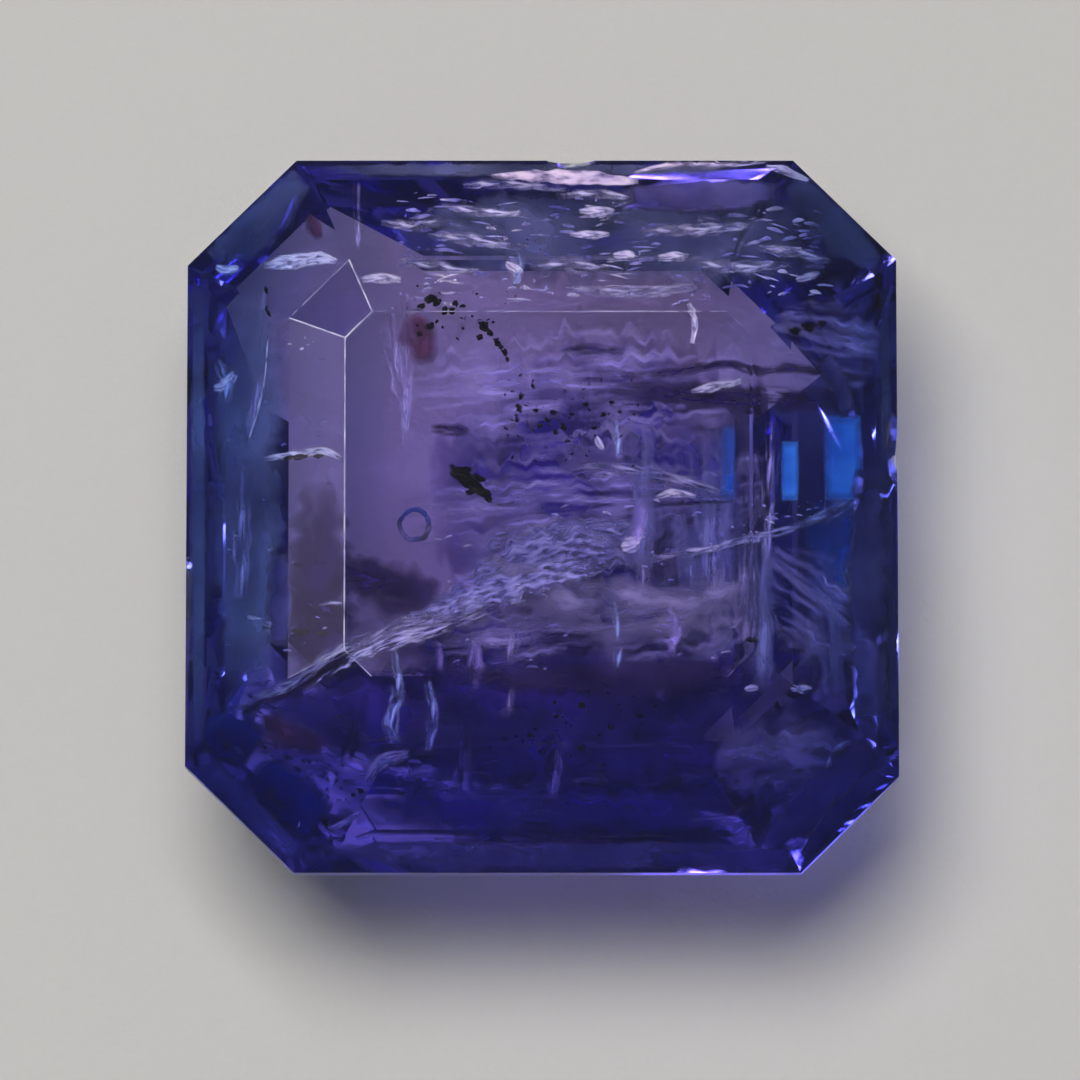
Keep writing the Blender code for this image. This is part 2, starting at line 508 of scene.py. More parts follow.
def add_film(shape, film, seed, ragged):
    """Adds a thin closed film along its path, thickest in the middle and with wavy rims."""
    lie = shape.verts.layers.float_vector["lie"]
    places = smooth_path(film.path)
    rows = []
    for index, (run, (x, y, half, depth)) in enumerate(places):
        before = places[max(0, index - 1)][1]
        after = places[min(len(places) - 1, index + 1)][1]
        along = Vector((after[0] - before[0], after[1] - before[1])).normalized()
        across = Vector((-along.y, along.x))
        last = len(places) - 1
        end_fade = min(1, index * FILM_ENDS / len(places), (last - index) * FILM_ENDS / len(places))
        row = []
        for column in range(FILM_COLUMNS + 1):
            t = 2 * column / FILM_COLUMNS - 1
            rim_place = (run * RIM_PATCHES, math.copysign(RIM_APART, t), seed)
            rag = 1 + ragged * noise.noise(rim_place)
            wave = film.waves * noise.noise((run * WAVE_PATCHES, t, seed + WAVE_SEED))
            place = Vector((x, y)) + across * (t * half * rag)
            middle = depth + film.lean * t / 2 + wave
            spread = film.thick * (1 - t * t) * end_fade / 2
            rim = index in (0, last) or column in (0, FILM_COLUMNS)
            pair = []
            for side in ((0,) if rim else (-1, 1)):
                vert = shape.verts.new(inside(*place, max(SKIN, middle + side * spread)))
                vert[lie] = (run / PIXELS_PER_METRE, t * half / PIXELS_PER_METRE,
                             max(abs(t), 1 - end_fade))
                pair.append(vert)
            row.append(pair)
        rows.append(row)
    for row, following in zip(rows, rows[1:]):
        for column in range(FILM_COLUMNS):
            ring = (row[column], row[column + 1], following[column + 1], following[column])
            shape.faces.new([pair[0] for pair in ring])
            shape.faces.new([pair[-1] for pair in ring[::-1]])


def films(name, material, parts, ragged=FILM_RAGGED):
    """One piece of several films, all of one material."""
    shape = bmesh.new()
    shape.verts.layers.float_vector.new("lie")
    for seed, film in enumerate(parts):
        add_film(shape, film, seed + len(name), ragged)
    bmesh.ops.recalc_face_normals(shape, faces=shape.faces)
    for face in shape.faces:
        face.smooth = True
    settle(object_from(name, shape, material))


def between(tree, value, start, end, first=0.0, last=1.0):
    """Turns the part of a value from start to end into a row of numbers, from first to last."""
    made = node(tree, "ShaderNodeMapRange", {"Value": value, "From Min": start, "From Max": end,
                                             "To Min": first, "To Max": last})
    return made.outputs[0]


def film_material(name, dark, light, fibres, cover, fade=0.35, grain=3.0, gloss=0.0):
    """A broken, silky film. Its fibres run along it, and past a share of its width it fades
    out. Its cover gives the noise at which it starts, the noise at which it is full, and how
    dense it is then."""
    made, tree, shader = new_material(name)
    lie = attribute(tree, "lie", "Vector")
    streak = speckle(tree, grain / MM, STREAK_DETAIL, lie, (1, fibres, 0))
    cloud = speckle(tree, CLOUD_GRAIN, CLOUD_DETAIL, lie, (1, CLOUD_STRETCH, 0))
    rim = node(tree, "ShaderNodeSeparateXYZ", {0: lie}).outputs["Z"]
    low, high, most = cover
    blend = reckon(tree, "ADD", reckon(tree, "MULTIPLY", streak, STREAK_SHARE),
                   reckon(tree, "MULTIPLY", cloud, CLOUD_SHARE))
    alpha = reckon(tree, "MULTIPLY", between(tree, blend, low, high, last=most),
                   between(tree, rim, fade, 1.0, first=1.0, last=0.0))
    tone = tones(tree, streak, ((DARK_FROM, dark), (LIGHT_FROM, light)))
    feed(tree, shader.inputs["Base Color"], tone)
    feed(tree, shader.inputs["Alpha"], alpha)
    feed(tree, shader.inputs["Roughness"], FILM_ROUGHNESS)
    feed(tree, shader.inputs["Specular IOR Level"], gloss)
    return made


silver_film = film_material(
    "silver_film", dark=(0.08, 0.08, 0.30, 1), light=(0.66, 0.68, 0.90, 1),
    fibres=6.5, cover=(0.42, 0.55, 0.95), fade=0.3, grain=3.2, gloss=0.4)
films("healed_cracks", silver_film, HEALED_CRACKS)
veil_film = film_material(
    "veil_film", dark=(0.10, 0.10, 0.36, 1), light=(0.40, 0.42, 0.74, 1),
    fibres=3.2, cover=(0.37, 0.56, 0.85), fade=0.5, grain=5.0, gloss=0.3)
films("silver_veils", veil_film, VEILS, ragged=VEIL_RAGGED)


# Silvery veils under the back of the crown: broken films of fluid pockets that lie almost
# level, each a millimetre or less long, one behind the other.
BACK_VEILS = (
    Film(((398, 262, 3, .4), (440, 268, 7, .45), (482, 272, 3, .4)), 0.15, 0.02, 0.03),
    Film(((428, 236, 3, .4), (470, 240, 8, .4), (522, 248, 3, .4)), 0.15, 0.02, 0.03),
    Film(((462, 186, 3, .3), (510, 184, 6, .3), (566, 190, 3, .3)), 0.10, 0.02, 0.03),
    Film(((560, 196, 3, .3), (600, 194, 6, .3), (642, 200, 3, .3)), 0.10, 0.02, 0.03),
    Film(((618, 206, 3, .3), (670, 200, 7, .3), (722, 206, 3, .3)), 0.10, 0.02, 0.03),
    Film(((640, 232, 3, .4), (700, 230, 8, .4), (756, 226, 3, .4)), 0.15, 0.02, 0.03),
    Film(((690, 262, 3, .4), (740, 268, 8, .4), (792, 264, 3, .35)), 0.15, 0.02, 0.03),
    Film(((530, 268, 3, .4), (572, 264, 7, .4), (612, 270, 3, .4)), 0.15, 0.02, 0.03),
    Film(((752, 246, 3, .35), (792, 252, 7, .35), (832, 262, 3, .3)), 0.15, 0.02, 0.03),
    Film(((560, 288, 3, .5), (630, 292, 8, .5), (706, 286, 3, .5)), 0.15, 0.02, 0.03),
    Film(((440, 206, 3, .3), (480, 212, 6, .35), (530, 214, 3, .35)), 0.10, 0.02, 0.03),
    Film(((380, 222, 3, .3), (410, 226, 6, .35), (440, 222, 3, .35)), 0.10, 0.02, 0.03),
)
back_veil = film_material(
    "back_veil", dark=(0.12, 0.13, 0.36, 1), light=(0.74, 0.76, 0.92, 1),
    fibres=5.0, cover=(0.38, 0.58, 0.85), fade=0.2, grain=4.0, gloss=0.4)
films("back_veils", back_veil, BACK_VEILS)


# Dark cracks: thin films whose faces lie edge on, or mirror the dark of the stone. The
# longest is the wavy line at the right, behind the healed crack, with a band in front of it.
DARK_CRACKS = (
    Film(((592, 373, 3, .5), (640, 375, 5, .5), (690, 370, 6, .5), (725, 364, 5, .5),
          (760, 371, 6, .5), (790, 368, 6, .4), (830, 374, 5, .3), (860, 378, 4, .2),
          (886, 380, 3, .1)), 0.05, 0.02, 0.02),
    Film(((590, 395, 6, .8), (650, 392, 13, .8), (720, 398, 16, .8), (790, 400, 15, .6),
          (840, 400, 12, .4), (884, 400, 8, .2)), 0.3, 0.03, 0.05),
    Film(((215, 728, 3, .2), (262, 704, 6, .25), (300, 688, 7, .3), (330, 668, 6, .3),
          (356, 652, 3, .35)), 0.1, 0.02, 0.02),
    Film(((290, 556, 6, .3), (325, 568, 17, .35), (362, 578, 19, .4), (408, 588, 8, .5)),
         0.15, 0.03, 0.05),
    Film(((296, 600, 4, .3), (325, 612, 12, .3), (352, 622, 6, .35)), 0.1, 0.03, 0.03),
    Film(((655, 506, 1.5, .6), (690, 503, 2.5, .6), (730, 502, 1.5, .6)), 0.05, 0.02, 0.0),
    Film(((430, 428, 4, .7), (452, 430, 8, .7), (470, 432, 4, .7)), 0.1, 0.03, 0.0),
    Film(((560, 352, 3, .9), (590, 350, 8, .9), (625, 352, 4, .9)), 0.1, 0.03, 0.0),
    Film(((782, 330, 4, .5), (806, 330, 12, .5), (830, 330, 5, .45)), 0.1, 0.03, 0.0),
)
shade_film = film_material(
    "shade_film", dark=(0.012, 0.008, 0.05, 1), light=(0.05, 0.03, 0.14, 1),
    fibres=4.0, cover=(0.36, 0.54, 0.9))
films("dark_cracks", shade_film, DARK_CRACKS)


# Dim patches: painted shade, dark violet sheets that darken the left facet, beside the healed
# crack and along the front edge of the table.
PAINTED_DIM_SHADES = (
    Film(((318, 480, 16, .25), (319, 560, 38, .3), (318, 620, 40, .3), (316, 690, 20, .3)),
         0.05, 0.02, 0.02),
    Film(((350, 560, 10, .6), (390, 590, 34, .65), (440, 600, 20, .7)), 0.1, 0.02, 0.03),
    Film(((440, 676, 8, .3), (540, 680, 16, .35), (660, 678, 18, .35), (750, 672, 8, .3)),
         0.05, 0.02, 0.03),
)
# Painted shade: a dark violet that darkens what shows through it.
dim = film_material(
    "dim_violet", dark=(0.010, 0.005, 0.04, 1), light=(0.035, 0.022, 0.11, 1),
    fibres=2.5, cover=(0.18, 0.58, 0.85), fade=0.35, grain=1.2)
films("dim_patches", dim, PAINTED_DIM_SHADES)


# Feathers near the surface: small bright breaks in the left, the bottom and the right of the
# crown, most of them no more than a tenth of a millimetre wide.
FEATHERS = (
    Film(((262, 459, 2, .2), (278, 457, 4, .2), (300, 455, 5, .2), (322, 451, 5, .2),
          (343, 459, 2, .2)), 0.1, 0.02, 0.02),
    Film(((246, 618, 3, .2), (265, 625, 7, .25), (290, 636, 5, .25)), 0.1, 0.02, 0.02),
    Film(((318, 607, 3, .3), (332, 606, 6, .3), (345, 605, 3, .3)), 0.1, 0.02, 0.0),
    Film(((213, 388, 3, .15), (224, 386, 8, .2), (236, 372, 4, .2)), 0.1, 0.02, 0.02),
    Film(((268, 335, 1, .2), (262, 390, 2, .25), (249, 440, 1, .2)), 0.05, 0.02, 0.0),
    Film(((215, 266, 2, .1), (226, 270, 6, .12), (240, 268, 3, .1)), 0.05, 0.02, 0.0),
    Film(((262, 266, 3, .25), (290, 262, 9, .3), (320, 258, 7, .3), (338, 262, 3, .3)),
         0.1, 0.03, 0.02),
    Film(((360, 280, 3, .3), (380, 278, 6, .3), (402, 280, 3, .3)), 0.1, 0.02, 0.0),
    Film(((366, 782, 3, .3), (378, 765, 8, .35), (395, 757, 7, .35), (410, 754, 3, .35)),
         0.2, 0.03, 0.02),
    Film(((596, 436, 2, .5), (599, 443, 4, .5), (604, 450, 2, .5)), 0.1, 0.02, 0.0),
    Film(((655, 498, 2, .5), (672, 493, 5, .5), (697, 497, 2, .5)), 0.1, 0.02, 0.0),
    Film(((690, 392, 2, .6), (715, 386, 6, .6), (745, 380, 3, .6)), 0.1, 0.02, 0.0),
    Film(((620, 548, 3, .8), (632, 545, 10, .8), (648, 538, 3, .8)), 0.1, 0.02, 0.02),
    Film(((845, 592, 2, .3), (858, 596, 6, .3), (873, 606, 3, .2)), 0.1, 0.02, 0.0),
    Film(((790, 690, 2, .3), (802, 688, 4, .3), (813, 688, 2, .3)), 0.05, 0.02, 0.0),
    Film(((744, 690, 2, .4), (752, 688, 4, .4), (759, 688, 2, .4)), 0.05, 0.02, 0.0),
    Film(((328, 830, 2, .15), (345, 822, 4, .2), (362, 812, 2, .2)), 0.05, 0.02, 0.0),
    Film(((300, 830, 4, .15), (314, 812, 9, .2), (328, 794, 3, .2)), 0.1, 0.03, 0.03),
    Film(((800, 840, 2, .15), (826, 812, 4, .2), (852, 786, 4, .2), (868, 768, 2, .15)),
         0.05, 0.02, 0.02),
    Film(((824, 776, 2, .2), (836, 752, 5, .25), (852, 740, 3, .2)), 0.05, 0.02, 0.02),
    Film(((688, 302, 2, .4), (695, 322, 4, .5), (692, 345, 2, .5)), 0.1, 0.02, 0.02),
    Film(((505, 262, 2, .4), (514, 268, 7, .4), (522, 275, 3, .4)), 0.1, 0.02, 0.02),
    Film(((578, 211, 2, .3), (597, 211, 6, .3), (616, 211, 2, .3)), 0.1, 0.02, 0.0),
    Film(((568, 234, 2, .4), (590, 235, 5, .4), (611, 234, 2, .4)), 0.1, 0.02, 0.0),
    Film(((764, 250, 2, .35), (783, 250, 4, .35), (803, 249, 2, .3)), 0.1, 0.02, 0.0),
    Film(((795, 280, 2, .3), (808, 277, 5, .3), (821, 272, 2, .3)), 0.1, 0.02, 0.0),
    Film(((612, 255, 2, .4), (624, 255, 6, .4), (637, 256, 2, .4)), 0.1, 0.02, 0.0),
    Film(((657, 257, 2, .4), (673, 256, 5, .4), (690, 256, 2, .4)), 0.1, 0.02, 0.0),
)
feather = film_material(
    "bright_feather", dark=(0.35, 0.36, 0.62, 1), light=(0.88, 0.88, 0.96, 1),
    fibres=4.0, cover=(0.34, 0.50, 0.95), fade=0.6, grain=6.0, gloss=0.5)
films("bright_feathers", feather, FEATHERS)


# Edge flares: shallow breaks under the back edge of the crown, left when the stone was ground,
# with a painted reflection of the bright paper behind them in pinkish white.
PAINTED_EDGE_FLARES = (
    Film(((490, 176, 2, .05), (540, 176, 7, .06), (590, 178, 8, .06), (640, 182, 3, .05)),
         0.02, 0.01, 0.0),
    Film(((632, 174, 2, .05), (665, 168, 6, .06), (700, 164, 8, .06), (740, 161, 6, .05),
          (768, 160, 3, .05)), 0.02, 0.01, 0.0),
    Film(((765, 166, 2, .05), (785, 171, 5, .06), (810, 181, 2, .05)), 0.02, 0.01, 0.0),
)
# Painted reflection: the pinkish white stands in for the lit paper that the back facets mirror.
flare_reflection = film_material(
    "pale_flare", dark=(0.42, 0.36, 0.62, 1), light=(0.90, 0.82, 0.90, 1),
    fibres=3.0, cover=(0.36, 0.52, 0.95), fade=0.7)
films("edge_flares", flare_reflection, PAINTED_EDGE_FLARES)


# Blue bands: painted reflections, flat sheets of bright blue along the right side where the right
# pavilion facets mirror the light. The bright ones lie over deeper blue ones.
BLUE_BAND_RAGGED = 0.05
BLUE_DEPTH_RAGGED = 0.1
PAINTED_BLUE_FLASHES = (
    Film(((843, 414, 19, .12), (843, 455, 21, .14), (843, 502, 19, .12)), 0.05, 0.03, 0.0),
    Film(((790, 440, 9, .2), (790, 470, 10, .2), (790, 502, 9, .2)), 0.05, 0.03, 0.0),
)
# Painted reflection: bright blue light mirrored in the right pavilion facets.
blue_zone = film_material(
    "blue_zone", dark=(0.03, 0.20, 0.80, 1), light=(0.10, 0.45, 1.0, 1),
    fibres=0.8, cover=(0.05, 0.48, 1.0), fade=0.5, grain=1.0)
films("blue_bands", blue_zone, PAINTED_BLUE_FLASHES, ragged=BLUE_BAND_RAGGED)
PAINTED_DEEP_BLUE_FLASHES = (
    Film(((838, 500, 30, .4), (838, 545, 36, .45), (832, 604, 26, .4)), 0.1, 0.03, 0.0),
    Film(((728, 425, 8, .7), (728, 460, 9, .7), (728, 502, 8, .7)), 0.1, 0.03, 0.0),
)
# Painted reflection: the deeper blue of the same flashes.
deep_blue = film_material(
    "deep_blue_zone", dark=(0.010, 0.06, 0.34, 1), light=(0.03, 0.16, 0.62, 1),
    fibres=0.8, cover=(0.15, 0.60, 0.8), fade=0.4, grain=1.0)
films("blue_depths", deep_blue, PAINTED_DEEP_BLUE_FLASHES, ragged=BLUE_DEPTH_RAGGED)


# Pale veins: narrow cracks, most of them upright, with a pale blue skin. They lie under the
# front of the table, near the middle and along the healed crack's right end.
VEINS = (
    Film(((394, 652, 4, .4), (398, 690, 8, .45), (390, 722, 10, .45), (398, 748, 5, .4)),
         0.15, 0.02, 0.03),
    Film(((427, 680, 4, .4), (433, 715, 7, .45), (428, 752, 4, .4)), 0.15, 0.02, 0.03),
    Film(((613, 416, 4, .5), (617, 440, 6, .5), (618, 466, 4, .5)), 0.15, 0.02, 0.03),
    Film(((366, 784, 5, .3), (376, 768, 12, .35), (394, 758, 9, .35), (412, 753, 4, .35)),
         0.2, 0.03, 0.02),
    Film(((612, 600, 3, .6), (618, 640, 5, .65), (614, 690, 3, .6)), 0.15, 0.02, 0.03),
    Film(((516, 252, 3, .4), (519, 268, 8, .4), (513, 286, 4, .4)), 0.1, 0.02, 0.02),
    Film(((216, 360, 4, .15), (226, 384, 10, .2), (224, 410, 4, .15)), 0.05, 0.02, 0.02),
    Film(((842, 560, 4, .2), (852, 590, 9, .25), (866, 612, 5, .2)), 0.05, 0.02, 0.02),
    Film(((790, 528, 3, .4), (828, 515, 9, .35), (856, 498, 8, .25), (874, 490, 3, .15)),
         0.1, 0.02, 0.03),
)
vein = film_material(
    "pale_blue_vein", dark=(0.06, 0.10, 0.36, 1), light=(0.42, 0.54, 0.86, 1),
    fibres=5.0, cover=(0.42, 0.58, 0.85), fade=0.2, grain=3.5)
films("pale_veins", vein, VEINS)


# Violet glints: small faces of cracks near the middle that mirror the light inside the
# stone, in a clear violet.
VIOLET_GLINTS = (
    Film(((634, 498, 5, .4), (640, 520, 9, .4), (630, 556, 6, .4)), 0.1, 0.02, 0.0),
    Film(((438, 642, 3, .4), (439, 656, 5, .4), (440, 672, 3, .4)), 0.05, 0.02, 0.0),
    Film(((470, 640, 4, .4), (478, 660, 7, .4), (474, 690, 4, .4)), 0.1, 0.02, 0.0),
    Film(((666, 608, 4, .5), (676, 630, 7, .5), (668, 656, 4, .5)), 0.1, 0.02, 0.0),
    Film(((452, 575, 5, .5), (462, 583, 9, .5), (478, 588, 5, .5)), 0.1, 0.02, 0.0),
)
violet_glint = film_material(
    "violet_glint", dark=(0.16, 0.10, 0.62, 1), light=(0.52, 0.42, 1.0, 1),
    fibres=2.0, cover=(0.30, 0.66, 0.62), fade=0.0, grain=3.0)
films("violet_glints", violet_glint, VIOLET_GLINTS)


# Silk: bundles of fine growth tubes, all along one direction of the crystal, that make faint
# upright streaks under the table and the left facets.
SILK = (
    Film(((357, 182, 4, .3), (357, 215, 5, .4), (358, 250, 4, .35)), 0.1, 0.02, 0.0),
    Film(((405, 292, 6, .9), (407, 370, 8, 1.1), (406, 450, 6, .9)), 0.1, 0.02, 0.05),
    Film(((390, 305, 6, .8), (397, 370, 12, 1.0), (408, 430, 6, .9)), 0.2, 0.02, 0.05),
    Film(((712, 540, 10, .7), (712, 590, 14, .8), (710, 640, 9, .7)), 0.2, 0.02, 0.05),
    Film(((744, 535, 9, .6), (742, 590, 13, .7), (742, 645, 8, .6)), 0.2, 0.02, 0.05),
    Film(((770, 420, 5, .5), (768, 500, 8, .6), (768, 580, 5, .5)), 0.2, 0.02, 0.05),
    Film(((470, 610, 8, .9), (470, 650, 12, 1.0), (466, 700, 6, .9)), 0.2, 0.02, 0.05),
    Film(((510, 600, 8, .9), (508, 660, 12, 1.0), (506, 720, 6, .9)), 0.2, 0.02, 0.05),
    Film(((640, 470, 8, .9), (640, 540, 12, 1.0), (642, 600, 6, .9)), 0.2, 0.02, 0.05),
    Film(((462, 690, 8, 1.1), (460, 745, 12, 1.2), (462, 800, 8, 1.1)), 0.2, 0.02, 0.05),
    Film(((556, 685, 8, 1.2), (552, 745, 14, 1.3), (550, 805, 8, 1.2)), 0.2, 0.02, 0.05),
    Film(((240, 470, 8, .15), (240, 540, 14, .2), (240, 600, 8, .15)), 0.05, 0.02, 0.0),
    Film(((262, 290, 6, .2), (258, 360, 10, .25), (250, 440, 6, .2)), 0.05, 0.02, 0.0),
)
silk = film_material(
    "silk_streaks", dark=(0.16, 0.15, 0.42, 1), light=(0.55, 0.50, 0.85, 1),
    fibres=9.0, cover=(0.46, 0.64, 0.55), fade=0.3, grain=2.0)
films("silk", silk, SILK)


# Small flakes: flat breaks seen almost edge on, in drifts under the back of the crown and
# thinner ones elsewhere. Each drift is scattered over a bed that lies inside the stone.
# Depths and sizes are in millimetres, and a density is in flakes a square millimetre.
Drift = namedtuple("Drift", "name corners depth density seed smallest largest")
DRIFTS = (
    Drift("back_flakes", ((395, 190), (826, 208), (826, 300), (400, 305)), 0.45, 20.0, 3,
          (0.02, 0.006, 0.004), (0.30, 0.050, 0.012)),
    Drift("middle_flakes", ((420, 520), (800, 480), (790, 660), (430, 700)), 0.9, 4.0, 5,
          (0.03, 0.01, 0.006), (0.16, 0.03, 0.010)),
    Drift("left_flakes", ((215, 300), (335, 345), (335, 640), (215, 690)), 0.25, 4.0, 8,
          (0.03, 0.01, 0.006), (0.14, 0.03, 0.010)),
    Drift("crack_sparks", ((640, 550), (876, 482), (876, 502), (640, 574)), 0.5, 34.0, 11,
          (0.015, 0.008, 0.005), (0.09, 0.022, 0.010)),
    Drift("veil_sparks", ((350, 642), (600, 540), (600, 580), (350, 668)), 0.5, 16.0, 12,
          (0.02, 0.008, 0.005), (0.12, 0.025, 0.010)),
)
BED_COLUMNS = 24
FLAKE_RIM = 9
FLAKE_SEED = 4
FLAKE_REACH = (0.35, 1.0)
FLAKE_TOP = (0.1, 0.05, 1)
FLAKE_BOTTOM = (-0.1, 0, -1)
FLAKE_TURNS = ((-0.5, -0.3, -0.35), (0.5, 0.3, 0.35))
FLAKE_DROPS = ((0, 0, -0.25), (0, 0, 0.2))
GLINT_GRAIN = 1.5 / MM
GLINT_TONES = (
    (0.40, (0.16, 0.15, 0.44, 1)),
    (0.50, (0.40, 0.40, 0.70, 1)),
    (0.62, (0.86, 0.86, 0.95, 1)),
)
GLINT_FROST = 5.0 / MM
GLINT_FROST_DETAIL = 4.0
GLINT_COVER = (0.35, 0.62, 0.15, 0.85)
GLINT_ROUGHNESS = 0.35


def bed(corners, depth):
    """A grid inside the stone under a four-sided patch of the picture."""
    shape = bmesh.new()
    top_left, top_right, low_right, low_left = [Vector(corner) for corner in corners]
    rows = []
    for row in range(BED_COLUMNS + 1):
        left = top_left.lerp(low_left, row / BED_COLUMNS)
        right = top_right.lerp(low_right, row / BED_COLUMNS)
        places = [left.lerp(right, column / BED_COLUMNS) for column in range(BED_COLUMNS + 1)]
        rows.append([shape.verts.new(inside(*place, depth)) for place in places])
    for row, following in zip(rows, rows[1:]):
        for column in range(BED_COLUMNS):
            shape.faces.new((row[column], following[column],
                             following[column + 1], row[column + 1]))
    return shape


def flake_object():
    """One flake, a metre in reach before it is scaled: a jagged disc, thickest in the middle."""
    chance = random.Random(FLAKE_SEED)
    shape = bmesh.new()
    rim = []
    for index in range(FLAKE_RIM):
        turn = math.tau * index / FLAKE_RIM
        reach = chance.uniform(*FLAKE_REACH)
        rim.append(shape.verts.new((reach * math.cos(turn), reach * math.sin(turn), 0)))
    top = shape.verts.new(FLAKE_TOP)
    bottom = shape.verts.new(FLAKE_BOTTOM)
    for index in range(FLAKE_RIM):
        start, end = rim[index], rim[(index + 1) % FLAKE_RIM]
        shape.faces.new((start, end, top))
        shape.faces.new((end, start, bottom))
    return object_from("flake", shape)


def scattered(group, given):
    """Scatters copies of a shape over the base, each with its own size and turn."""
    spots = node(group, "GeometryNodeDistributePointsOnFaces",
                 {"Mesh": given["Base"], "Density": given["Density"], "Seed": given["Seed"]})
    size = node(group, "FunctionNodeRandomValue", data_type="FLOAT_VECTOR")
    turn = node(group, "FunctionNodeRandomValue", data_type="FLOAT_VECTOR")
    drop = node(group, "FunctionNodeRandomValue", data_type="FLOAT_VECTOR")
    for picked, least, most in ((size, "Smallest", "Largest"), (turn, "Least turn", "Most turn"),
                                (drop, "Lowest", "Highest")):
        feed(group, picked.inputs[0], given[least])
        feed(group, picked.inputs[1], given[most])
        feed(group, picked.inputs["Seed"], given["Seed"])
    lump = node(group, "GeometryNodeObjectInfo", {"Object": given["Shape"]})
    placed = node(group, "GeometryNodeInstanceOnPoints",
                  {"Points": spots.outputs[0], "Instance": lump.outputs["Geometry"],
                   "Rotation": turn.outputs[0], "Scale": size.outputs[0]})
    moved = node(group, "GeometryNodeTranslateInstances",
                 {"Instances": placed.outputs[0], "Translation": drop.outputs[0]})
    return moved.outputs[0]


def scatter(drift, material, shape, turns, drops):
    """Fills a drift with copies of a shape, within the least and the most turn and drop."""
    vector = "NodeSocketVector"
    sizes = {
        "Shape": ("NodeSocketObject", shape),
        "Density": ("NodeSocketFloat", drift.density / MM ** 2),
        "Seed": ("NodeSocketInt", drift.seed),
        "Smallest": (vector, [side * MM for side in drift.smallest]),
        "Largest": (vector, [side * MM for side in drift.largest]),
        "Least turn": (vector, turns[0]),
        "Most turn": (vector, turns[1]),
        "Lowest": (vector, [side * MM for side in drops[0]]),
        "Highest": (vector, [side * MM for side in drops[1]]),
    }
    settle(grow(drift.name, bed(drift.corners, drift.depth), material, sizes, scattered))


glint, tree, shader = new_material("flake_glint")
feed(tree, shader.inputs["Base Color"], tones(tree, speckle(tree, GLINT_GRAIN), GLINT_TONES))
frost = speckle(tree, GLINT_FROST, GLINT_FROST_DETAIL)
feed(tree, shader.inputs["Alpha"], between(tree, frost, *GLINT_COVER))
feed(tree, shader.inputs["Roughness"], GLINT_ROUGHNESS)
flake = flake_object()
for drift in DRIFTS:
    scatter(drift, glint, flake, FLAKE_TURNS, FLAKE_DROPS)
bpy.data.objects.remove(flake)


# Black crystals caught in the stone, probably graphite: one large one in the middle, a trail
# of smaller ones behind it, and fine specks around them. A grain's length and width are in
# pixels, its turn is in degrees and its depth in millimetres.
Grain = namedtuple("Grain", "x y length width turn depth")
GRAINS = (
    Grain(462, 476, 22, 13, -35, .35), Grain(473, 484, 26, 13, -40, .35),
    Grain(483, 492, 16, 9, -30, .35), Grain(478, 478, 12, 7, -20, .35),
    Grain(457, 471, 9, 6, 0, .35), Grain(431, 299, 12, 8, 10, .35), Grain(421, 306, 8, 6, 0, .35),
    Grain(445, 309, 7, 5, 30, .35), Grain(455, 303, 6, 5, 0, .35), Grain(463, 306, 6, 4, 0, .35),
    Grain(484, 326, 11, 8, -50, .35), Grain(480, 337, 7, 5, 0, .35),
    Grain(497, 342, 8, 6, -60, .35), Grain(505, 352, 7, 5, -70, .35),
    Grain(430, 326, 8, 6, 20, .35), Grain(420, 334, 6, 4, 0, .35), Grain(519, 408, 8, 5, -80, .35),
    Grain(563, 427, 7, 5, -45, .35), Grain(553, 412, 6, 4, 0, .35), Grain(540, 426, 6, 4, 20, .35),
    Grain(586, 404, 5, 4, 0, .35), Grain(604, 414, 5, 4, 0, .35), Grain(582, 705, 6, 5, 0, .35),
    Grain(611, 727, 6, 5, 0, .35), Grain(582, 748, 6, 5, 0, .35), Grain(556, 716, 5, 4, 0, .35),
    Grain(530, 735, 5, 4, 0, .35), Grain(640, 716, 5, 4, 0, .35), Grain(750, 640, 7, 5, 0, .35),
    Grain(266, 290, 9, 3, -80, .10), Grain(268, 312, 10, 3, -60, .10),
    Grain(300, 457, 14, 5, 5, .10), Grain(318, 456, 10, 4, 0, .10), Grain(288, 458, 9, 4, 10, .10),
    Grain(300, 632, 16, 5, -8, .10), Grain(322, 633, 12, 4, -5, .10),
    Grain(808, 326, 14, 9, -10, .35), Grain(795, 331, 9, 6, 0, .35), Grain(822, 323, 9, 5, 0, .35),
    Grain(437, 303, 9, 6, 40, .35), Grain(452, 312, 6, 4, 0, .35), Grain(490, 333, 7, 5, -60, .35),
    Grain(501, 347, 6, 4, -60, .35), Grain(507, 359, 5, 4, -80, .35),
    Grain(521, 396, 6, 4, -80, .4), Grain(517, 420, 5, 4, -80, .4), Grain(536, 410, 5, 4, 10, .4),
    Grain(548, 420, 6, 4, -30, .4), Grain(556, 432, 5, 4, -30, .4), Grain(568, 441, 5, 3, 0, .4),
    Grain(572, 414, 5, 3, 0, .4), Grain(594, 428, 5, 3, 0, .4), Grain(612, 402, 5, 3, 0, .4),
    Grain(533, 386, 5, 3, -60, .4), Grain(620, 412, 4, 3, 0, .4), Grain(466, 470, 8, 6, 20, .35),
    Grain(488, 499, 8, 5, -60, .35), Grain(470, 492, 8, 5, 10, .35), Grain(452, 466, 5, 4, 0, .35),
)
GRAIN_SWELL = 0.54
GRAIN_FLATNESS = 0.7
GRAIN_FINENESS = 2
SPECK_FINENESS = 1
SPECK_SEED = 50
SPECK_TURNS = ((-0.5, -0.5, -3.1), (0.5, 0.5, 3.1))
SPECK_DROPS = ((0, 0, -0.2), (0, 0, 0.15))
BULGE = 0.7
BULGE_PATCHES = 1.6
BULGE_SHIFT = 3.7
DENT = 0.22
GRAPHITE_GRAIN = 9.0 / MM
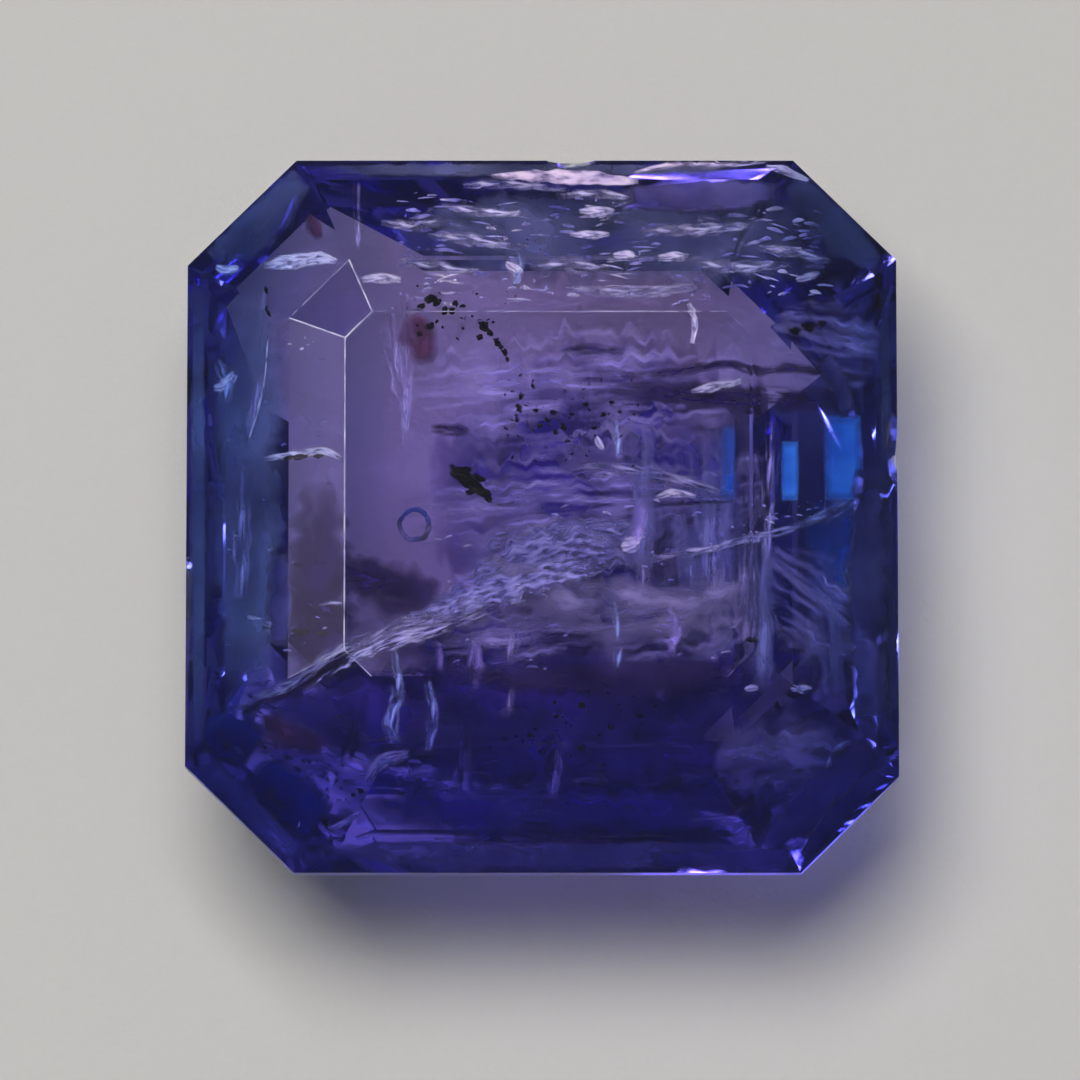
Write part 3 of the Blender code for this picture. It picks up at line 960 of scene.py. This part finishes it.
GRAPHITE_TONES = ((0.3, (0.001, 0.001, 0.002, 1)), (0.7, (0.010, 0.009, 0.011, 1)))
GRAPHITE_ROUGHNESS = 0.6
GRAPHITE_GLOSS = 0.05
BLACK_DRIFTS = (
    Drift("graphite_dust", ((500, 375), (640, 372), (640, 470), (505, 460)), 0.45, 27.0, 2,
          (0.008, 0.006, 0.006), (0.050, 0.024, 0.018)),
    Drift("back_dust", ((410, 285), (520, 290), (510, 350), (415, 345)), 0.4, 16.0, 6,
          (0.010, 0.007, 0.006), (0.055, 0.030, 0.020)),
    Drift("front_dust", ((480, 690), (660, 690), (640, 770), (490, 765)), 0.35, 9.0, 7,
          (0.010, 0.007, 0.006), (0.045, 0.026, 0.018)),
    Drift("rear_dust", ((470, 185), (560, 185), (560, 262), (470, 260)), 0.25, 18.0, 9,
          (0.006, 0.005, 0.005), (0.030, 0.018, 0.014)),
)


def lump_into(shape, place, seed, fineness):
    """Adds one uneven black grain."""
    chance = random.Random(seed)
    made = bmesh.ops.create_icosphere(shape, subdivisions=fineness, radius=1.0)["verts"]
    for vert in made:
        bulge = noise.noise(vert.co * BULGE_PATCHES + Vector((seed * BULGE_SHIFT, 0, 0)))
        vert.co *= 1 + BULGE * bulge + chance.uniform(-DENT, DENT)
    bmesh.ops.transform(shape, verts=made, matrix=place)


graphite, tree, shader = new_material("black_crystal")
feed(tree, shader.inputs["Base Color"],
     tones(tree, speckle(tree, GRAPHITE_GRAIN), GRAPHITE_TONES))
feed(tree, shader.inputs["Roughness"], GRAPHITE_ROUGHNESS)
feed(tree, shader.inputs["Specular IOR Level"], GRAPHITE_GLOSS)
shape = bmesh.new()
for index, grain in enumerate(GRAINS):
    spot = Matrix.Translation(inside(grain.x, grain.y, grain.depth))
    turn = Matrix.Rotation(math.radians(grain.turn), 4, "Z")
    long, wide = [side * GRAIN_SWELL / PIXELS_PER_METRE for side in (grain.length, grain.width)]
    size = Matrix.Diagonal((long, wide, wide * GRAIN_FLATNESS, 1))
    lump_into(shape, spot @ turn @ size, index, GRAIN_FINENESS)
settle(object_from("black_crystals", shape, graphite))
shape = bmesh.new()
lump_into(shape, Matrix.Identity(4), SPECK_SEED, SPECK_FINENESS)
speck = object_from("speck", shape)
for drift in BLACK_DRIFTS:
    scatter(drift, graphite, speck, SPECK_TURNS, SPECK_DROPS)
bpy.data.objects.remove(speck)


# Iron stains: red-brown films round old crystals. One is at the back of the table, by the
# black trail, and one each in the back left and the front left corner.
STAINS = (
    Film(((410, 314, 10, .6), (418, 338, 22, .6), (428, 366, 8, .6)), 0.1, 0.03, 0.02),
    Film(((306, 214, 4, .3), (313, 226, 9, .3), (320, 240, 4, .3)), 0.1, 0.03, 0.0),
    Film(((255, 720, 8, .25), (285, 735, 20, .3), (325, 748, 8, .3)), 0.1, 0.03, 0.0),
)
stain = film_material(
    "iron_stain", dark=(0.035, 0.010, 0.05, 1), light=(0.12, 0.04, 0.10, 1),
    fibres=1.5, cover=(0.22, 0.52, 0.8))
films("iron_stains", stain, STAINS)


# A round fluid pocket left of the middle: a drop of old fluid in the crystal. Only its dark
# blue wall shows, as an uneven ring. It is placed in pixels and at a depth in millimetres.
POCKET = (415, 525, 0.45)
POCKET_RADIUS = 0.21 * MM
POCKET_DENT = 0.12
POCKET_DENTS = 1.5
POCKET_STEPS = 40
WALL_RADIUS = 0.036 * MM
WALL_SWELL = 0.5
WALL_SWELLS = 3
WALL_SIDES = 8
WALL_GRAIN = 2.5 / MM
WALL_TONES = ((0.4, (0.010, 0.015, 0.12, 1)), (0.7, (0.04, 0.07, 0.36, 1)))
WALL_PATCHES = 2.2 / MM
WALL_COVER = (0.35, 0.6, 0.25, 0.85)
WALL_ROUGHNESS = 0.3

pocket_wall, tree, shader = new_material("pocket_wall")
feed(tree, shader.inputs["Base Color"], tones(tree, speckle(tree, WALL_GRAIN), WALL_TONES))
feed(tree, shader.inputs["Alpha"], between(tree, speckle(tree, WALL_PATCHES), *WALL_COVER))
feed(tree, shader.inputs["Roughness"], WALL_ROUGHNESS)
shape = bmesh.new()
heart = inside(*POCKET)
rings = []
for step in range(POCKET_STEPS):
    turn = math.tau * step / POCKET_STEPS
    out = Vector((math.cos(turn), math.sin(turn), 0))
    middle = heart + out * POCKET_RADIUS * (1 + POCKET_DENT * noise.noise(out * POCKET_DENTS))
    wall = WALL_RADIUS * (1 + WALL_SWELL * noise.noise(out * WALL_SWELLS))
    ring = []
    for side in range(WALL_SIDES):
        lift = math.tau * side / WALL_SIDES
        rise = Vector((0, 0, math.sin(lift)))
        ring.append(shape.verts.new(middle + (out * math.cos(lift) + rise) * wall))
    rings.append(ring)
for ring, following in zip(rings, rings[1:] + rings[:1]):
    for side in range(WALL_SIDES):
        beside = (side + 1) % WALL_SIDES
        shape.faces.new((ring[side], ring[beside], following[beside], following[side]))
bmesh.ops.recalc_face_normals(shape, faces=shape.faces)
settle(object_from("fluid_pocket", shape, pocket_wall))


# Mists: sheets of pockets too fine to make out. They fill the middle and the right side with
# faint, almost level wisps.
MISTS = (
    Film(((400, 400, 30, .9), (480, 396, 66, 1.0), (560, 392, 74, 1.0), (680, 388, 66, .9),
          (756, 384, 30, .8)), 0.4, 0.03, 0.1),
    Film(((400, 520, 20, .8), (480, 512, 56, 1.2), (560, 506, 70, 1.3), (680, 500, 66, 1.2),
          (770, 492, 40, .8)), 0.4, 0.03, 0.1),
    Film(((400, 650, 16, .8), (480, 644, 40, 1.0), (580, 634, 52, 1.1), (680, 622, 56, 1.0),
          (780, 612, 40, .6)), 0.4, 0.03, 0.1),
    Film(((760, 560, 20, .5), (800, 590, 50, .45), (840, 620, 60, .3), (872, 640, 30, .15)),
         0.1, 0.03, 0.02),
    Film(((770, 330, 24, .4), (810, 340, 44, .4), (850, 350, 50, .25), (880, 356, 24, .15)),
         0.1, 0.03, 0.02),
)
mist = film_material(
    "violet_mist", dark=(0.12, 0.10, 0.40, 1), light=(0.52, 0.48, 0.86, 1),
    fibres=7.0, cover=(0.42, 0.66, 0.6), fade=0.3, grain=1.1)
films("mists", mist, MISTS)


# Indigo clouds: painted shade, wide dark sheets deep in the crystal. They dull the window of light
# under the table and darken the front of the stone.
PAINTED_INDIGO_SHADES = (
    Film(((690, 560, 24, 1.35), (704, 620, 56, 1.4), (716, 690, 30, 1.2)), 0.1, 0.03, 0.05),
    Film(((430, 505, 60, 2.0), (520, 500, 140, 2.1), (620, 496, 160, 2.1), (720, 496, 140, 1.9),
          (775, 496, 60, 1.7)), 0.2, 0.05, 0.1),
    Film(((370, 660, 14, 1.5), (450, 652, 40, 1.7), (560, 640, 62, 1.75), (680, 628, 62, 1.7),
          (760, 618, 24, 1.5)), 0.1, 0.04, 0.05),
    Film(((250, 740, 14, .5), (330, 720, 40, .7), (430, 720, 62, 1.0), (540, 716, 74, 1.1),
          (640, 720, 66, 1.1), (720, 730, 40, .8), (750, 735, 14, .6)), 0.5, 0.04, 0.1),
    Film(((330, 810, 10, .3), (430, 812, 22, .5), (560, 814, 24, .5), (690, 812, 20, .4),
          (735, 812, 8, .3)), 0.1, 0.03, 0.05),
)
# Painted shade: a dark indigo that dims the light seen through it.
indigo = film_material(
    "indigo_cloud", dark=(0.010, 0.008, 0.10, 1), light=(0.05, 0.03, 0.28, 1),
    fibres=1.5, cover=(0.22, 0.58, 0.85), fade=0.5, grain=0.8)
films("indigo_clouds", indigo, PAINTED_INDIGO_SHADES)


# Dusk films: painted shade, thin even sheets of dark violet just under the skin of the crown. They
# keep the light behind them from flashing through at the right, the back and the front right
# corner.
PAINTED_DUSK_SHADES = (
    Film(((868, 465, 14, .05), (869, 560, 24, .06), (870, 660, 24, .06), (872, 738, 14, .05)),
         0.02, 0.01, 0.0),
    Film(((756, 860, 8, .05), (790, 832, 26, .1), (836, 786, 30, .12), (880, 740, 16, .08)),
         0.03, 0.01, 0.0),
    Film(((650, 860, 8, .03), (720, 861, 14, .04), (800, 858, 12, .04)), 0.0, 0.01, 0.0),
    Film(((622, 198, 10, .06), (700, 195, 19, .07), (782, 192, 10, .06)), 0.02, 0.01, 0.0),
    Film(((280, 552, 8, .1), (280, 600, 14, .1), (280, 648, 8, .1)), 0.02, 0.01, 0.0),
    Film(((824, 356, 8, .05), (836, 382, 13, .06), (850, 414, 8, .05)), 0.02, 0.01, 0.0),
    Film(((892, 590, 5, .03), (893, 650, 7, .03), (893, 710, 5, .03)), 0.0, 0.01, 0.0),
    Film(((800, 862, 7, .04), (841, 812, 14, .05), (887, 768, 7, .04)), 0.0, 0.01, 0.0),
)
# Painted shade: a dark violet laid over the flashes of light.
dusk = film_material(
    "dusk_film", dark=(0.030, 0.030, 0.13, 1), light=(0.11, 0.10, 0.27, 1),
    fibres=1.5, cover=(0.0, 0.42, 0.92), fade=0.6, grain=1.0)
films("dusk_films", dusk, PAINTED_DUSK_SHADES)


# Navy corners: painted shade, two sheets of the deepest blue inside the facets of the front left
# corner, that darken them.
NAVY_CORNER_SHADES = (
    Film(((200, 728, 8, .08), (226, 734, 32, .12), (256, 752, 22, .12)), 0.03, 0.02, 0.0),
    Film(((252, 768, 16, .1), (282, 794, 36, .14), (322, 826, 22, .1)), 0.03, 0.02, 0.0),
)
# Painted shade: a near black blue.
navy = film_material(
    "navy_corner", dark=(0.003, 0.008, 0.09, 1), light=(0.010, 0.022, 0.18, 1),
    fibres=1.5, cover=(0.0, 0.40, 0.95), fade=0.6, grain=0.8)
films("navy_corners", navy, NAVY_CORNER_SHADES)


# Side hazes: a faint, slate grey bloom just under the outer facets, all round the crown, and
# behind the flakes at the back. It greys and dulls the colour there.
SIDE_HAZES = (
    Film(((312, 853, 8, .05), (430, 853, 14, .06), (560, 855, 14, .06), (700, 855, 14, .06),
          (780, 853, 8, .05)), 0.0, 0.01, 0.0),
    Film(((212, 772, 8, .05), (252, 811, 15, .06), (296, 853, 8, .05)), 0.0, 0.01, 0.0),
    Film(((248, 296, 20, .2), (249, 400, 36, .25), (248, 520, 38, .25), (248, 690, 24, .2)),
         0.05, 0.02, 0.02),
    Film(((198, 290, 5, .05), (198, 420, 8, .06), (198, 600, 8, .06), (199, 745, 5, .05)),
         0.0, 0.01, 0.0),
    Film(((214, 262, 14, .08), (254, 222, 32, .1), (304, 178, 14, .08)), 0.02, 0.01, 0.0),
    Film(((320, 170, 4, .05), (420, 170, 7, .06), (560, 170, 7, .06), (760, 170, 4, .05)),
         0.0, 0.01, 0.0),
    Film(((790, 180, 10, .08), (834, 226, 26, .1), (876, 266, 10, .08)), 0.02, 0.01, 0.0),
    Film(((396, 240, 20, .75), (500, 236, 46, .8), (640, 236, 52, .8), (760, 240, 46, .7),
          (836, 256, 20, .5)), 0.1, 0.03, 0.03),
    Film(((884, 280, 4, .05), (886, 420, 6, .06), (888, 600, 6, .06), (888, 740, 4, .05)),
         0.0, 0.01, 0.0),
)
side_haze = film_material(
    "side_haze", dark=(0.06, 0.08, 0.18, 1), light=(0.15, 0.18, 0.34, 1),
    fibres=1.5, cover=(0.14, 0.60, 0.65), fade=0.5, grain=0.8)
films("side_hazes", side_haze, SIDE_HAZES)


# Slate curtains: upright sheets of growth tubes, one behind the other, in the right half of
# the table and by the front right corner.
CURTAINS = (
    Film(((700, 428, 20, .9), (702, 500, 44, .95), (706, 580, 48, .9), (708, 660, 24, .8)),
         0.2, 0.03, 0.05),
    Film(((762, 530, 10, .4), (760, 600, 20, .45), (762, 690, 10, .35)), 0.1, 0.02, 0.03),
    Film(((826, 600, 16, .2), (830, 650, 30, .25), (834, 700, 16, .2)), 0.05, 0.02, 0.02),
    Film(((640, 420, 14, .8), (642, 500, 24, .85), (640, 580, 14, .8)), 0.2, 0.03, 0.05),
)
curtain = film_material(
    "slate_curtain", dark=(0.05, 0.065, 0.26, 1), light=(0.22, 0.24, 0.52, 1),
    fibres=9.0, cover=(0.34, 0.66, 0.7), fade=0.2, grain=0.9)
films("slate_curtains", curtain, CURTAINS)


# Grey clouds: thin grey sheets in the crystal. They dull the front right corner, the outer front
# facets and the part of the table in front of the healed crack.
GREY_CLOUDS = (
    Film(((716, 772, 14, .3), (752, 762, 48, .4), (800, 766, 54, .35), (850, 770, 22, .2)),
         0.2, 0.03, 0.05),
    Film(((316, 853, 6, .05), (430, 853, 13, .06), (560, 855, 13, .06), (700, 855, 13, .06),
          (750, 853, 6, .05)), 0.0, 0.01, 0.0),
    Film(((212, 774, 6, .05), (251, 812, 13, .06), (294, 855, 6, .05)), 0.0, 0.01, 0.0),
    Film(((480, 560, 10, .6), (560, 600, 30, .7), (660, 610, 34, .7), (760, 600, 20, .45)),
         0.2, 0.03, 0.05),
)
haze = film_material(
    "grey_cloud", dark=(0.07, 0.07, 0.20, 1), light=(0.34, 0.32, 0.55, 1),
    fibres=2.5, cover=(0.32, 0.62, 0.7), fade=0.5, grain=1.2)
films("grey_clouds", haze, GREY_CLOUDS)
